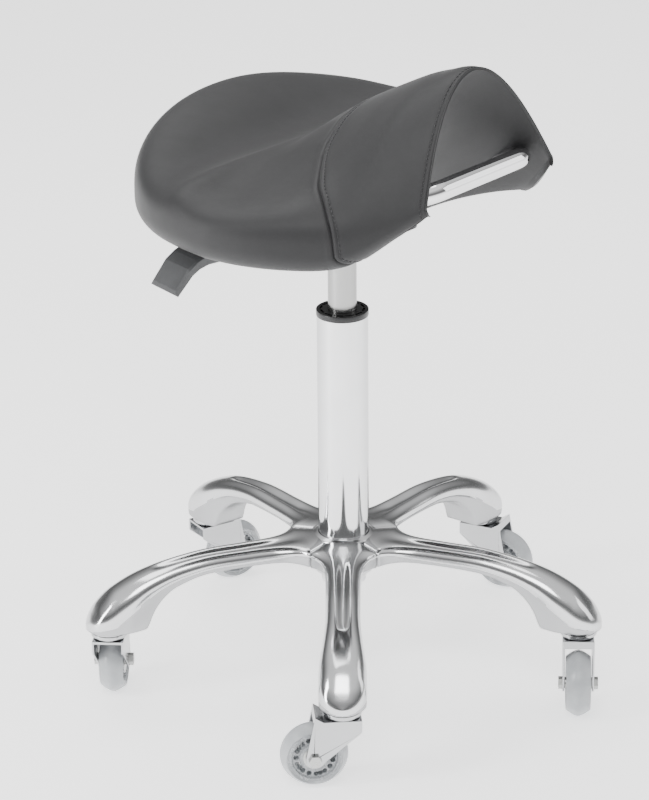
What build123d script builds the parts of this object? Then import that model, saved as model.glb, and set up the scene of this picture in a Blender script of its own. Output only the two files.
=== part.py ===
from build123d import *
import math
import os

# Saddle stool on a five-arm base. Millimetres, +Z up.
# Origin: on the floor, on the column's axis. The rider faces -Y, so the rider's right is -X.

# ---- driving dimensions: base and casters ----
arm_count = 5
base_heading = -140.5        # direction of the first arm, degrees from +X
stem_circle_r = 241.7        # column axis to caster stem
foot_plane_z = 81.6          # flat underside of the feet
foot_r = 23.0
foot_top_z = 117.0
hub_r = 44.0
hub_skirt_r = 28.5
hub_top_z = 153.0
hub_bottom_z = 110.0
arm_width_hub = 40.0
arm_width_foot = 35.0
arm_channel_width = 9.0      # two open channels under each arm leave a middle rib
arm_channel_offset = 8.0
arm_channel_top = 136.0
crown_round = 9.0
caster_trail = 27.3          # stem axis to wheel axle
axle_z = 32.5
trail_headings = [135.0, -142.5, -75.0, -18.0, 36.0]

wheel_r = 32.5
wheel_width = 24.0
rim_r = 24.5
core_width = 22.0
bearing_outer_r = 11.0
bearing_width = 7.0
axle_r = 4.0
axle_clearance = 0.05
core_hole_r = 2.6
core_hole_circle_r = 16.5
fork_sheet = 2.0
fork_inner_half = 13.4
fork_boss_r = 8.5
raceway_r = 18.2
swivel_gap = 0.6
stem_r = 5.5
stem_length = 30.0

# ---- driving dimensions: gas column ----
tube_r = 25.0
tube_wall = 2.0
tube_bottom_z = 99.0
tube_top_z = 380.0
taper_bottom_r = 22.0
cylinder_r = 14.0
cylinder_wall = 1.6
cylinder_bottom_z = 186.0
cylinder_top_z = 483.4
bush_length = 62.0
bush_flange_r = 25.6
bush_flange_top_z = 386.0
bush_clearance = 0.08
rod_r = 4.0
rod_top_z = 366.0
piston_length = 12.0
lift_down = 55.0
lift_up = 120.0

# ---- driving dimensions: seat ----
seat_half_width = 212.0
seat_rear = 172.0            # column axis back to the rear edge
seat_front = 178.0           # column axis forward to the front seam
rear_power = 2.17            # roundness of the rear outline
front_lean = 0.20            # backward lean of the front face per unit of height
cover_thickness = 2.0
edge_lip_inset = 24.0
rear_seam = [(0, 39), (42, 38), (75, 47), (103, 63), (132, 86), (150, 112), (165, 150)]   # (across, forward)
shell_bottom_z = 503.0
shell_thickness = 10.0

# ---- driving dimensions: seat plate, lever and handle ----
plate_sheet = 3.0
plate_length = 132.0
plate_width = 128.0
plate_top_z = 502.0
pan_length = 120.0
pan_width = 96.0
pan_floor_z = 471.0
socket_r = 19.0
socket_bottom_z = 446.0
socket_top_z = 479.0
bolt_spacing_x = 112.0
bolt_spacing_y = 64.0
bolt_r = 4.0
tee_nut_r = 10.0
lever_heading = 166.8        # direction of the lever, degrees from +X
lever_pivot_r = 38.0
lever_rod_r = 4.0
lever_pin_r = 2.0
lever_z = 490.0
lever_ear_gap = 7.0
grip_width = 40.0
grip_edge = 1.5
lever_bend_r = 58.0
lever_rod_reach = 172.0
lever_drop = 10.0
# side of the lever's grip: distance from the column, height
grip_outline = [(150, 485.5), (172, 485), (181, 481.5), (191, 475), (205.5, 457.5), (207, 453.5),
                (203, 450.5), (186, 467.5), (178, 472), (168, 474.5), (150, 474.5)]
handle_r = 9.5
handle_wall = 1.5
handle_half_span = 80.0
handle_path = [(6, 478), (58, 494), (106, 538), (164, 557)]   # each leg, clamp to front, (forward, height)
handle_corner_r = 24.0
handle_bend_r = 60.0
clamp_forward = 18.0
clamp_size = (30.0, 24.0)
clamp_bottom_z = 470.0
clamp_screw_offset = 12.2
clamp_screw_r = 2.0

os.makedirs("parts", exist_ok=True)


def save(name, shape):
    export_step(shape, f"parts/{name}.step")


def tube_ring(outer, inner, low, high):
    ring = Cylinder(outer, high - low) - Cylinder(inner, (high - low) * 2)
    return Pos(0, 0, (low + high) / 2) * ring


def rod(radius, low, high):
    return Pos(0, 0, (low + high) / 2) * Cylinder(radius, high - low)


def turned(points):
    """A closed outline of (radius, height) points turned about Z."""
    outline = make_face(Polyline(*[(r, 0, z) for r, z in points], close=True))
    return revolve(outline, Axis.Z, 360)


def polar(radius, angle, z=0.0):
    return (radius * math.cos(math.radians(angle)), radius * math.sin(math.radians(angle)), z)


def arm_angle(index):
    return base_heading + index * 360.0 / arm_count


# ---------------------------------------------------------------- five-arm base
def arm_profile():
    """Side view of one arm, (radius, height)."""
    with BuildLine() as line:
        Spline((30, hub_top_z - 5), (100, 149), (150, 147), (200, 137), (236, 121),
               tangents=((1, 0), (1, -0.5)))
        RadiusArc((236, 121), (stem_circle_r + foot_r, foot_plane_z + 6), 34)
        Line((stem_circle_r + foot_r, foot_plane_z + 6), (stem_circle_r + foot_r, foot_plane_z))
        Line((stem_circle_r + foot_r, foot_plane_z), (207, foot_plane_z))
        Spline((207, foot_plane_z), (198, 103), (174, 119), (140, 128), (30, 130))
        Line((30, 130), (30, hub_top_z - 5))
    return make_face(Plane.XZ * line.line)


def arm_plan():
    """Top view of one arm: a tapering bar that ends in a round foot."""
    bar = Polyline((20, -arm_width_hub / 2), (200, -arm_width_foot / 2),
                   (200, arm_width_foot / 2), (20, arm_width_hub / 2), close=True)
    neck = Polyline((196, -arm_width_foot / 2), (stem_circle_r, -foot_r),
                    (stem_circle_r, foot_r), (196, arm_width_foot / 2), close=True)
    foot = Pos(stem_circle_r, 0, 0) * Circle(foot_r)
    return make_face(bar) + make_face(neck) + foot


def star_base():
    side = extrude(arm_profile(), 60, both=True)
    plan = extrude(arm_plan(), 200)
    arm = side & plan
    crown_edges = [edge for edge in arm.edges()
                   if edge.bounding_box().min.Z > 112 and edge.length > 30
                   and abs(edge.center().Y) > 8 and edge.center().X < 230]
    arm = fillet(crown_edges, crown_round)
    for rail in (-1, 1):
        channel = Pos(126, rail * arm_channel_offset, arm_channel_top - 20)
        arm = arm - channel * Box(130, arm_channel_width, 40)
    hub = turned([(0, hub_bottom_z), (hub_skirt_r - 2, hub_bottom_z), (hub_skirt_r, hub_bottom_z + 2),
                  (hub_skirt_r + 1, 124), (hub_r, 130), (hub_r, 146), (hub_r - 4, 151),
                  (hub_r - 10, hub_top_z), (0, hub_top_z)])
    body = hub
    for index in range(arm_count):
        body = body + Rot(0, 0, arm_angle(index)) * arm
    body = body - column_taper(0.0)
    for index in range(arm_count):
        socket = Pos(*polar(stem_circle_r, arm_angle(index))) * rod(stem_r, foot_plane_z - 1,
                                                                    foot_plane_z + stem_length)
        body = body - socket
    return body


# ---------------------------------------------------------------- gas column
def column_taper(extra):
    """Outside of the column's lower end, where the hub grips it."""
    return turned([(0, tube_bottom_z), (taper_bottom_r + extra, tube_bottom_z),
                   (tube_r + extra, hub_top_z), (tube_r + extra, tube_top_z), (0, tube_top_z)])


def column_tube():
    inside = turned([(0, tube_bottom_z - 1), (taper_bottom_r - tube_wall, tube_bottom_z - 1),
                     (taper_bottom_r - tube_wall, tube_bottom_z + 8),
                     (tube_r - tube_wall, hub_top_z + 10), (tube_r - tube_wall, tube_top_z + 1),
                     (0, tube_top_z + 1)])
    return column_taper(0.0) - inside


def guide_bush():
    inner = cylinder_r + bush_clearance
    sleeve = tube_ring(tube_r - tube_wall, inner, tube_top_z - bush_length, tube_top_z)
    flange = tube_ring(bush_flange_r, inner, tube_top_z, bush_flange_top_z)
    slot = Pos(tube_r - 4.2, 0, bush_flange_top_z) * Box(2.2, 9, 3)
    bush = sleeve + flange
    for index in range(12):
        bush = bush - Rot(0, 0, index * 30) * slot
    return bush


end_plate_top_z = tube_bottom_z + 6.0
washer_low_z = end_plate_top_z + 1.5
bearing_top_z = washer_low_z + 4.0
washer_high_z = bearing_top_z + 1.5
buffer_top_z = washer_high_z + 14.0


def column_parts():
    save("star_base", star_base())
    save("column_tube", column_tube())
    save("guide_bush", guide_bush())
    save("column_end_plate", tube_ring(taper_bottom_r - tube_wall, rod_r + 1.5,
                                       tube_bottom_z + 1, end_plate_top_z))
    save("lower_thrust_washer", tube_ring(12, rod_r + 1.0, end_plate_top_z, washer_low_z))
    cage = tube_ring(11.5, rod_r + 1.0, washer_low_z + 1.2, bearing_top_z - 1.2)
    balls = []
    for index in range(9):
        place = Pos(*polar(8.2, index * 40, (washer_low_z + bearing_top_z) / 2))
        cage = cage - place * Sphere(2.1)
        balls.append(place * Sphere(1.95))
    save("thrust_bearing_cage", cage)
    save("thrust_bearing_balls", Compound(children=balls))
    save("upper_thrust_washer", tube_ring(12, rod_r, bearing_top_z, washer_high_z))
    save("rubber_buffer", tube_ring(11, rod_r, washer_high_z, buffer_top_z))

    groove_z = tube_bottom_z - 2.0
    steel_rod = rod(rod_r, tube_bottom_z - 5, rod_top_z)
    steel_rod = steel_rod - tube_ring(rod_r + 1, rod_r - 0.8, groove_z - 0.8, groove_z + 0.8)
    save("piston_rod", steel_rod)
    clip = tube_ring(rod_r + 4, rod_r - 0.8, groove_z - 0.7, groove_z + 0.7)
    clip = clip - Pos(6, 0, groove_z) * Box(12, 3.4, 4)
    save("rod_clip", clip)
    piston = tube_ring(cylinder_r - cylinder_wall - 0.1, rod_r,
                       rod_top_z - piston_length, rod_top_z)
    groove = tube_ring(cylinder_r, cylinder_r - cylinder_wall - 1.6,
                       rod_top_z - 7.5, rod_top_z - 4.5)
    save("piston", piston - groove)

    outside = turned([(0, cylinder_bottom_z), (cylinder_r - 1, cylinder_bottom_z),
                      (cylinder_r, cylinder_bottom_z + 1), (cylinder_r, socket_bottom_z),
                      (cylinder_r - 0.9, cylinder_top_z), (0, cylinder_top_z)])
    bore = rod(cylinder_r - cylinder_wall, cylinder_bottom_z - 1, cylinder_top_z - 34)
    valve_bore = rod(4.2, cylinder_top_z - 40, cylinder_top_z + 1)
    save("gas_cylinder", outside - bore - valve_bore)
    save("rod_guide", tube_ring(cylinder_r - cylinder_wall, rod_r + 0.06,
                                cylinder_bottom_z + 1, cylinder_bottom_z + 20))
    save("release_pin", rod(4.15, cylinder_top_z - 30, cylinder_top_z - 2.6)
         + rod(3.0, cylinder_top_z - 3, cylinder_top_z + 1.6))


# ---------------------------------------------------------------- casters
def fork(inner_half):
    """A swivel fork whose stem axis is Z; the axle lies at +X."""
    outer_half = inner_half + fork_sheet
    crown_low = 69.5
    crown_high = crown_low + 2.5
    with BuildLine() as line:
        Polyline((-17, crown_high), (19, crown_high), (27, foot_plane_z - 4.5),
                 (caster_trail + fork_boss_r, axle_z + 1))
        ThreePointArc((caster_trail + fork_boss_r, axle_z + 1), (caster_trail, axle_z - fork_boss_r),
                      (caster_trail - fork_boss_r + 1, axle_z - 4))
        Polyline((caster_trail - fork_boss_r + 1, axle_z - 4), (-17, crown_low - 10), (-17, crown_high))
    leg_face = make_face(Plane.XZ * line.line)
    legs = extrude(leg_face, outer_half, both=True) - Pos(20, 0, 30) * Box(120, 2 * inner_half, 79)
    crown = Pos(1, 0, (crown_low + crown_high) / 2) * Box(36, 2 * outer_half, crown_high - crown_low)
    raceway = turned([(0, crown_high - 0.5), (13, crown_high - 0.5), (raceway_r - 1, crown_high + 1),
                      (raceway_r, crown_high + 2.5), (raceway_r, foot_plane_z - 3.2 - swivel_gap),
                      (0, foot_plane_z - 3.2 - swivel_gap)])
    body = legs + crown + raceway - rod(4.0 + axle_clearance, 60, 90)
    axle_hole = Pos(caster_trail, 0, axle_z) * Rot(90, 0, 0) * Cylinder(axle_r, 60)
    return body - axle_hole


def caster_stem():
    return (rod(stem_r, foot_plane_z - 1, foot_plane_z + stem_length)
            + rod(raceway_r, foot_plane_z - 3.2, foot_plane_z)
            + rod(4.0, 67, foot_plane_z)
            + rod(7.0, 65.5, 69.0))


def axle_set():
    """Bolt, nut and two washers along Y, centred on the wheel."""
    outer = fork_inner_half + fork_sheet
    along = Rot(90, 0, 0)
    bolt = along * Cylinder(axle_r, 2 * outer + 6) + Pos(0, outer + 2, 0) * along * extrude(
        RegularPolygon(6.2, 6), 2, both=True)
    nut = Pos(0, -outer - 2, 0) * along * extrude(RegularPolygon(6.2, 6), 2, both=True)
    nut = nut - along * Cylinder(axle_r, 80)
    washers = []
    for side in (-1, 1):
        washer = Cylinder(5.5, fork_inner_half - core_width / 2 - 0.1) - Cylinder(axle_r, 10)
        middle = (fork_inner_half + core_width / 2 + 0.1) / 2
        washers.append(Pos(0, side * middle, 0) * along * washer)
    return Compound(children=[bolt, nut] + washers)


def tyre():
    half = wheel_width / 2
    with BuildLine() as line:
        Polyline((rim_r, -half + 1.5), (rim_r + 2, -half))
        Spline((rim_r + 2, -half), (wheel_r - 2.6, -7), (wheel_r, 0), (wheel_r - 2.6, 7), (rim_r + 2, half))
        Polyline((rim_r + 2, half), (rim_r, half - 1.5), (rim_r, -half + 1.5))
    return Rot(90, 0, 0) * revolve(make_face(Plane.XZ * line.line), Axis.Z, 360)


def wheel_core():
    half = core_width / 2
    core = turned([(bearing_outer_r, -half), (bearing_outer_r + 3, -half), (bearing_outer_r + 4, -half + 3),
                   (rim_r - 3.5, -half + 3), (rim_r - 2.5, -half + 0.5), (rim_r, -half + 0.5),
                   (rim_r, half - 0.5), (rim_r - 2.5, half - 0.5), (rim_r - 3.5, half - 3),
                   (bearing_outer_r + 4, half - 3), (bearing_outer_r + 3, half), (bearing_outer_r, half)])
    for index in range(arm_count):
        hole = Pos(*polar(core_hole_circle_r + 1.2, index * 72)) * Cylinder(core_hole_r, 60)
        core = core - hole
        for step in (-14, 0, 14):
            core = core - Pos(*polar(core_hole_circle_r + 1.2, index * 72 + 36 + step)) * Cylinder(
                core_hole_r, 60)
    return Rot(90, 0, 0) * core


def wheel_bearings():
    rings = []
    for side in (-1, 1):
        low = side * (core_width - bearing_width) / 2 - bearing_width / 2
        rings.append(tube_ring(bearing_outer_r, axle_r + axle_clearance, low, low + bearing_width))
    spacer_half = core_width / 2 - bearing_width
    rings.append(tube_ring(6.5, axle_r + axle_clearance, -spacer_half, spacer_half))
    return Rot(90, 0, 0) * Compound(children=rings)


def casters():
    stems = []
    for index in range(arm_count):
        corner = Pos(*polar(stem_circle_r, arm_angle(index)))
        turn = Rot(0, 0, trail_headings[index])
        hub = Pos(caster_trail, 0, axle_z)
        stems.append(corner * caster_stem())
        number = index + 1
        save(f"fork_{number}", corner * turn * fork(fork_inner_half))
        save(f"axle_{number}", corner * turn * hub * axle_set())
        save(f"tyre_{number}", corner * turn * hub * tyre())
        save(f"wheel_core_{number}", corner * turn * hub * wheel_core())
        save(f"wheel_bearings_{number}", corner * turn * hub * wheel_bearings())
    save("caster_stems", Compound(children=stems))


# ---------------------------------------------------------------- seat outline
def blend(stations, value):
    """Smooth curve through a short list of (forward, value) stations, flat beyond its ends."""
    value = min(max(value, stations[0][0]), stations[-1][0])
    slopes = []
    for index in range(len(stations)):
        (a, low), (b, high) = stations[max(index - 1, 0)], stations[min(index + 1, len(stations) - 1)]
        slopes.append((high - low) / (b - a))
    for index in range(len(stations) - 1):
        (a, low), (b, high) = stations[index], stations[index + 1]
        if value <= b:
            span = b - a
            t = (value - a) / span
            rise = 3 * t ** 2 - 2 * t ** 3
            bend = (t ** 3 - 2 * t ** 2 + t) * slopes[index] + (t ** 3 - t ** 2) * slopes[index + 1]
            return low + (high - low) * rise + span * bend
    return stations[-1][1]


crown_stations = [(-170, 572), (-110, 560), (-60, 551), (-20, 565), (10, 588), (40, 607),
                  (63, 619), (92, 632), (120, 643), (145, 650.5), (163, 656), (178, 657)]
edge_stations = [(-170, 519), (-60, 519), (0, 517), (100, 508), (127, 512), (150, 528), (178, 553)]
lip_stations = [(-170, 24), (0, 24), (100, 17), (127, 11), (150, 8), (178, 6.5)]
pad_share_stations = [(-30, 1.0), (0, 0.55), (40, 0.45), (90, 0.43), (130, 0.3), (178, 0.0)]
ridge_power_stations = [(0, 5.0), (40, 4.8), (90, 2.8), (130, 1.2), (155, 1.0), (178, 1.0)]
pad_flatness = 3.5
pad_shoulder = 0.26
front_half_width = 93.0
front_taper_power = 1.75
rear_rim = 50.0
side_rim = 10.0


def half_width(forward):
    if forward < 0:
        return seat_half_width * (1 - (-forward / seat_rear) ** rear_power) ** (1 / rear_power)
    taper = (forward / seat_front) ** front_taper_power
    return seat_half_width + (front_half_width - seat_half_width) * taper


def outline_ratio(forward, across):
    """0 at the middle of the seat and 1 on its outline."""
    if forward >= 0:
        return min(1.0, abs(across) / half_width(forward))
    along = (-forward / seat_rear) ** rear_power
    return min(1.0, (along + (abs(across) / seat_half_width) ** rear_power) ** (1 / rear_power))


def top_height(forward, across):
    """A flat pad at the rear that narrows to a rounded ridge at the front."""
    ratio = outline_ratio(forward, across)
    edge = blend(edge_stations, forward)
    if forward < 0:
        turn = forward ** 2 / (forward ** 2 + across ** 2 + 1)
        rim = side_rim + (rear_rim - side_rim) * turn
    else:
        rim = side_rim * max(0.0, 1 - forward / 90) ** 2
    top = blend(crown_stations, forward) + rim * ratio ** 2.5
    pad = (1 - ratio ** pad_flatness) ** pad_shoulder
    ridge = (1 - ratio ** 2) ** blend(ridge_power_stations, forward)
    share = blend(pad_share_stations, forward)
    return edge + (top - edge) * (share * pad + (1 - share) * ridge)


def seat_point(forward, across, height):
    """The front face leans back as it rises."""
    lean = front_lean * max(0.0, forward / seat_front) ** 2
    edge = blend(edge_stations, forward)
    return Vector(across, -(forward - lean * (height - edge)), height)


def seat_section(forward, inset):
    """Closed section of the upholstered seat across one station, moved in by inset."""
    width = half_width(forward)
    scale = (width - inset) / width
    lip = blend(lip_stations, forward)
    edge = blend(edge_stations, forward)
    top = []
    for step in range(-6, 7):
        across = width * math.sin(math.radians(step * 15))
        height = max(edge, top_height(forward, across))
        top.append(seat_point(forward, across * scale, height - inset * abs(math.cos(math.radians(step * 15)))))
    reach = min(edge_lip_inset, width * 0.4)
    low = edge - lip + inset
    corner = (width - reach) * scale
    arch = [(width - 5) * scale, corner]
    right = [seat_point(forward, arch[0], edge - lip * 0.62 + inset * 0.5), seat_point(forward, arch[1], low)]
    left = [seat_point(forward, -arch[1], low), seat_point(forward, -arch[0], edge - lip * 0.62 + inset * 0.5)]
    upper = Spline(*top)
    round_right = Spline(top[-1], right[0], right[1])
    floor = Line(right[1], left[0])
    round_left = Spline(left[0], left[1], top[0])
    return Wire([upper, round_right, floor, round_left])


seat_rows = [-168, -160, -143, -117, -81, -40, 0, 40, 80, 110, 135, 158, 178]


def seat_form(inset):
    sections = []
    for forward in seat_rows:
        place = forward
        if forward == seat_rows[0]:
            place = forward + inset
        if forward == seat_rows[-1]:
            place = forward - inset
        sections.append(seat_section(place, inset))
    return Solid.make_loft(sections)


# stations of the hollow under the seat: forward, half width, shoulder height, crown height
hollow_rows = [(-146, 62, 513, 513), (-130, 106, 513, 513), (-100, 145, 513, 513),
               (-50, 176, 513, 513), (0, 184, 513, 513), (46, 171, 513, 513),
               (66, 160, 524, 534), (84, 150, 535, 556), (104, 138, 545, 568), (125, 116, 550, 580),
               (152, 100, 556, 594), (190, 74, 562, 602)]
shell_front = 88.0
dust_cover_front = 0.0
hollow_floor_z = 430.0


def hollow_section(forward, width, shoulder, crown):
    mid = shoulder + 0.62 * (crown - shoulder)
    corners = [(-width, shoulder), (-0.7 * width, mid), (0, crown), (0.7 * width, mid), (width, shoulder)]
    roof = Spline(*[Vector(across, -forward, height) for across, height in corners])
    right = Line((width, -forward, shoulder), (width, -forward, hollow_floor_z))
    floor = Line((width, -forward, hollow_floor_z), (-width, -forward, hollow_floor_z))
    left = Line((-width, -forward, hollow_floor_z), (-width, -forward, shoulder))
    return Wire([roof, right, floor, left])


def seat_hollow():
    return Solid.make_loft([hollow_section(*row) for row in hollow_rows], ruled=True)


def bolt_places():
    return [(side_x * bolt_spacing_x / 2, side_y * bolt_spacing_y / 2)
            for side_x in (-1, 1) for side_y in (-1, 1)]


def clamp_screw_places():
    return [(side * handle_half_span + offset, -clamp_forward)
            for side in (-1, 1) for offset in (-clamp_screw_offset, clamp_screw_offset)]


def at_all(places, shape):
    return [Pos(x, y, 0) * shape for x, y in places]


def in_front_of(forward, lean=0.0):
    """Everything ahead of an upright or leaning plane."""
    tilt = math.degrees(math.atan(lean))
    edge = edge_stations[-1][1]
    return Pos(0, -forward, edge) * Rot(-tilt, 0, 0) * Pos(0, -300, 0) * Box(900, 600, 900)


def ahead_of_rear_seam():
    """Everything ahead of the U-shaped seam across the seat."""
    half = [(across, -forward) for across, forward in rear_seam]
    points = [(-across, y) for across, y in reversed(half[1:])] + half
    (left, left_y), (right, right_y) = points[0], points[-1]
    with BuildLine() as line:
        Spline(*points)
        Polyline((right, right_y), (right, -400), (left, -400), (left, left_y))
    return Pos(0, 0, 400) * extrude(make_face(line.line), 400)


def upholstery():
    hollow = seat_hollow()
    outer = seat_form(0.0)
    inner = seat_form(cover_thickness)
    shell_mass = hollow - in_front_of(shell_front)
    shell = shell_mass - Pos(0, 0, -shell_thickness) * hollow
    holes = at_all(bolt_places(), rod(bolt_r + 1, 480, 540))
    pilot_holes = at_all(clamp_screw_places(), rod(clamp_screw_r, 480, shell_bottom_z + 8))
    for hole in holes + pilot_holes:
        shell = shell - hole
    save("seat_shell", shell)

    foam = inner - hollow
    for pocket in at_all(bolt_places(), rod(tee_nut_r + 1, 500, 517)):
        foam = foam - pocket
    save("seat_foam", foam)

    skin = outer - inner - hollow
    front_lid = in_front_of(seat_front - cover_thickness - 0.1, front_lean)
    ahead = ahead_of_rear_seam()
    save("cover_gusset", skin & front_lid)
    save("cover_rear", skin - ahead)
    save("cover_saddle", (skin & ahead) - front_lid)

    sheet = Pos(0, 0, shell_bottom_z - 0.5) * Box(900, 900, 1)
    dust_cover = (hollow & sheet) - in_front_of(dust_cover_front) - rod(40, 480, 520) - shell
    for hole in holes + pilot_holes:
        dust_cover = dust_cover - hole
    save("dust_cover", dust_cover)

    barrel = tube_ring(bolt_r + 1, bolt_r, shell_bottom_z + 2, shell_bottom_z + shell_thickness)
    top = shell_bottom_z + shell_thickness
    flange = tube_ring(tee_nut_r, bolt_r, top + 0.8, top + 2.3)
    neck = tube_ring(bolt_r + 1, bolt_r, top - 1, top + 1.5)
    save("tee_nuts", Compound(children=at_all(bolt_places(), barrel + neck + flange)))


# ---------------------------------------------------------------- seat plate and column socket
def across_lever(radius, length, centre_radius, z):
    """A cylinder lying across the lever at one distance from the column."""
    return (Rot(0, 0, lever_heading) * Pos(centre_radius, 0, z)
            * Rot(90, 0, 0) * Cylinder(radius, length))


def mechanism():
    low = plate_top_z - plate_sheet
    flange = Pos(0, 0, low) * extrude(RectangleRounded(plate_width, plate_length, 16), plate_sheet)
    pan = Pos(0, 0, pan_floor_z) * extrude(RectangleRounded(pan_width, pan_length, 12),
                                           plate_top_z - pan_floor_z)
    inside = Pos(0, 0, pan_floor_z + plate_sheet) * extrude(
        RectangleRounded(pan_width - 2 * plate_sheet, pan_length - 2 * plate_sheet, 9), 60)
    plate = flange + pan - inside - rod(socket_r, 440, 490)
    for hole in at_all(bolt_places(), rod(bolt_r + 0.5, 480, 520)):
        plate = plate - hole
    lever_window = Rot(0, 0, lever_heading) * Pos(pan_width / 2, 0, lever_z - 2) * Box(20, 12, 17)
    save("seat_plate", plate - lever_window)

    cylinder_outside = turned([(0, 440), (cylinder_r, 440), (cylinder_r, socket_bottom_z),
                               (cylinder_r - 0.9, cylinder_top_z), (0, cylinder_top_z)])
    save("taper_socket", rod(socket_r, socket_bottom_z, socket_top_z) - cylinder_outside)

    ears = []
    pin = across_lever(lever_pin_r, 2 * lever_ear_gap + 8, lever_pivot_r, lever_z)
    for side in (-1, 1):
        ear = Pos(lever_pivot_r - 4, side * (lever_ear_gap + 1.25), 485.5) * Box(16, 2.5, 23)
        ears.append(Rot(0, 0, lever_heading) * ear - pin)
    save("lever_bracket", Compound(children=ears))
    save("lever_pin", pin)

    shank = rod(bolt_r, plate_top_z - plate_sheet, shell_bottom_z + shell_thickness + 1)
    head_top = plate_top_z - plate_sheet - 2.0
    head = Pos(0, 0, head_top - 5.3) * extrude(RegularPolygon(7.4, 6), 5.3)
    shank = shank + rod(bolt_r, head_top - 1, plate_top_z)
    save("mount_bolts", Compound(children=at_all(bolt_places(), head + shank)))
    washer = tube_ring(7.2, bolt_r, head_top, plate_top_z - plate_sheet)
    split = Pos(6, 0, head_top + 1) * Box(6, 0.8, 4)
    save("lock_washers", Compound(children=at_all(bolt_places(), washer - split)))


# ---------------------------------------------------------------- lever
def lever():
    turn = Rot(0, 0, lever_heading)
    corners = [(-5, 0, lever_z), (lever_bend_r, 0, lever_z), (lever_rod_reach, 0, lever_z - lever_drop)]
    with BuildLine() as line:
        FilletPolyline(*corners, radius=40)
    path = line.line
    start = Plane(origin=path @ 0, z_dir=path % 0)
    bar = sweep(start * Circle(lever_rod_r), path)
    bar = turn * bar - across_lever(lever_pin_r + 0.05, 30, lever_pivot_r, lever_z)
    save("lever_rod", bar)

    side = make_face(Plane.XZ * Polyline(*grip_outline, close=True))
    grip = extrude(side, grip_width / 2, both=True)
    edges = [edge for edge in grip.edges() if abs(abs(edge.center().Y) - grip_width / 2) < 0.1
             and edge.length > 6]
    grip = chamfer(edges, grip_edge)
    grip = turn * grip - turn * sweep(start * Circle(lever_rod_r), path)
    save("lever_grip", grip)


# ---------------------------------------------------------------- chrome handle
def handle():
    span = handle_half_span
    leg = [(span, -forward, height) for forward, height in handle_path]
    other_leg = [(-x, y, z) for x, y, z in reversed(leg)]
    bends = [handle_bend_r, handle_bend_r, handle_corner_r]
    with BuildLine() as line:
        FilletPolyline(*leg, *other_leg, radius=bends + bends[::-1])
    path = line.line
    start = Plane(origin=path @ 0, z_dir=path % 0)
    solid_bar = sweep(start * Circle(handle_r), path)
    bore = sweep(start * Circle(handle_r - handle_wall), path)
    save("handle_tube", solid_bar - bore)

    blocks = []
    clamp_top = shell_bottom_z - 1.0
    for side in (-1, 1):
        middle = Pos(side * span, -clamp_forward, (clamp_bottom_z + clamp_top) / 2)
        block = middle * Box(*clamp_size, clamp_top - clamp_bottom_z)
        upright = [edge for edge in block.edges() if edge.length > 25]
        blocks.append(fillet(upright, 3) - solid_bar)
    screw_holes = at_all(clamp_screw_places(), rod(clamp_screw_r, 460, 520))
    for hole in screw_holes:
        blocks = [block - hole for block in blocks]
    save("handle_clamps", Compound(children=blocks))
    screw = rod(clamp_screw_r, clamp_bottom_z - 1, shell_bottom_z + 7)
    head = rod(4.5, clamp_bottom_z - 3.5, clamp_bottom_z)
    socket = Pos(0, 0, clamp_bottom_z - 3.5) * extrude(RegularPolygon(2.3, 6), 2)
    save("handle_screws", Compound(children=at_all(clamp_screw_places(), screw + head - socket)))


column_parts()
casters()
upholstery()
mechanism()
lever()
handle()
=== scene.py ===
import math
import random

import bmesh
import bpy
import numpy as np
from mathutils import Matrix, Vector, noise


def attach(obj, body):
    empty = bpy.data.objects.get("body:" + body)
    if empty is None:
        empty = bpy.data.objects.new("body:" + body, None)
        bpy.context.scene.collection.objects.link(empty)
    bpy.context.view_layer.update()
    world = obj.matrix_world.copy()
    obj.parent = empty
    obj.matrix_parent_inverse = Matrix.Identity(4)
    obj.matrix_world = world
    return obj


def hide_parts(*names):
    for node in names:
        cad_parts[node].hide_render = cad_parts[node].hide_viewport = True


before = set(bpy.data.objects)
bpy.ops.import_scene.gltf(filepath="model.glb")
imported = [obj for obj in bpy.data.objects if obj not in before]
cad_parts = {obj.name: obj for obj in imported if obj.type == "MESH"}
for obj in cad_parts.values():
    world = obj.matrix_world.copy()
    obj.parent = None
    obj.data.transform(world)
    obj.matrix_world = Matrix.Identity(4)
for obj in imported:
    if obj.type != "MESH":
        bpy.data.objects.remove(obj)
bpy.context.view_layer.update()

# Saddle stool, in metres. Seat shapes are worked out in millimetres: s is forward of the
# column (row -Y), x is across, z is the height, and MM turns them into metres.
MM = 0.001
random.seed(7)

# ------------------------------------------------------------------ seat form, following the CAD part
SEAT_HALF_WIDTH = 212.0
SEAT_REAR = 172.0
SEAT_FRONT = 178.0
REAR_POWER = 2.17
FRONT_LEAN = 0.20
FRONT_HALF_WIDTH = 93.0
FRONT_TAPER_POWER = 1.75
REAR_RIM = 50.0
SIDE_RIM = 10.0
RIM_POWER = 2.5
RIM_END_S = 90.0
REAR_LIP = 24.0
PAD_FLATNESS = 3.5
PAD_SHOULDER = 0.26
JUST_BEHIND_S = -1e-9
CROWN = [(-170, 572), (-110, 560), (-60, 551), (-20, 565), (10, 588), (40, 607),
         (63, 619), (92, 632), (120, 643), (145, 650.5), (163, 656), (178, 657)]
EDGE = [(-170, 519), (-60, 519), (0, 517), (100, 508), (127, 512), (150, 528), (178, 553)]
LIP = [(-170, 24), (0, 24), (100, 17), (127, 11), (150, 8), (178, 6.5)]
LIP_INSET = [(-170, 24), (0, 24), (120, 22), (150, 13), (178, 2.5)]
PAD_SHARE = [(-30, 1.0), (0, 0.55), (40, 0.45), (90, 0.43), (130, 0.3), (178, 0.0)]
RIDGE_POWER = [(0, 5.0), (40, 4.8), (90, 2.8), (130, 1.2), (155, 1.0), (178, 1.0)]
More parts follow.
